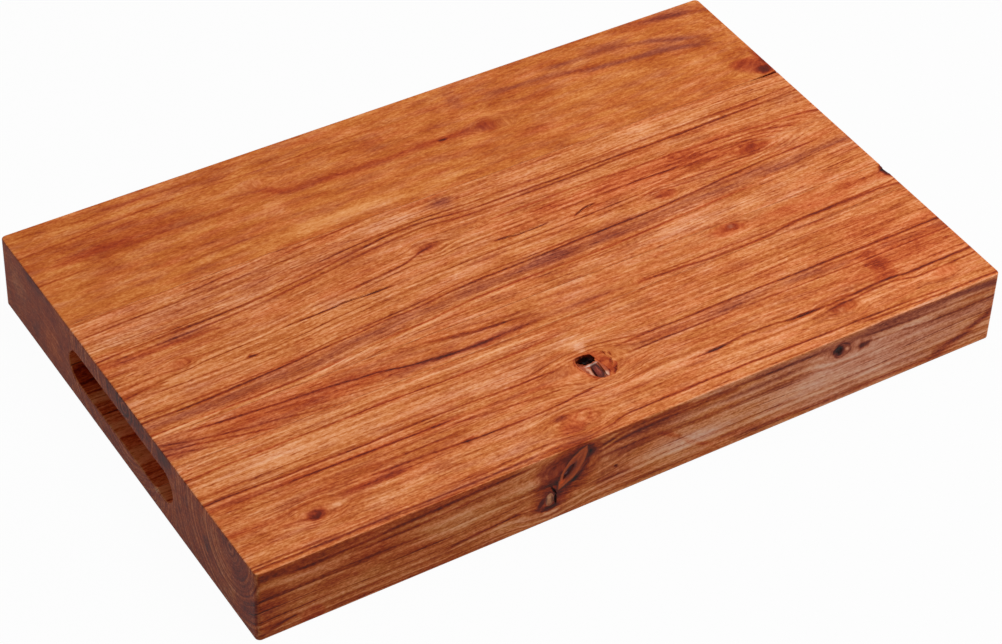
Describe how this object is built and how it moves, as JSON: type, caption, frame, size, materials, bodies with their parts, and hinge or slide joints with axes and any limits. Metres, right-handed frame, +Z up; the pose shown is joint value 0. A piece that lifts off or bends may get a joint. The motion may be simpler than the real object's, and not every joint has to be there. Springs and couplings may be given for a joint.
{
  "type": "carving board",
  "caption": "Thick edge-glued hardwood carving board with a long finger grip routed into each end; both broad faces are flat for cutting.",
  "frame": {"origin": "middle of the underside", "axes": "+X along the length and the grain, +Y towards the rear edge, +Z up out of the cutting face"},
  "size_m": [0.45, 0.288, 0.046],
  "materials": {
    "timber": "oiled, satin, reddish brown",
    "glue": "cured wood glue, dark brown",
    "knot_wood": "oiled, dark red-brown dead knot"
  },
  "bodies": {
    "root": {"rear_stave": "timber", "wide_stave": "timber", "narrow_stave": "timber", "front_stave": "timber", "rear_glue_line": "glue", "middle_glue_line": "glue", "front_glue_line": "glue", "top_knot": "knot_wood", "front_knot": "knot_wood", "pin_knot": "knot_wood"}
  },
  "joints": []
}
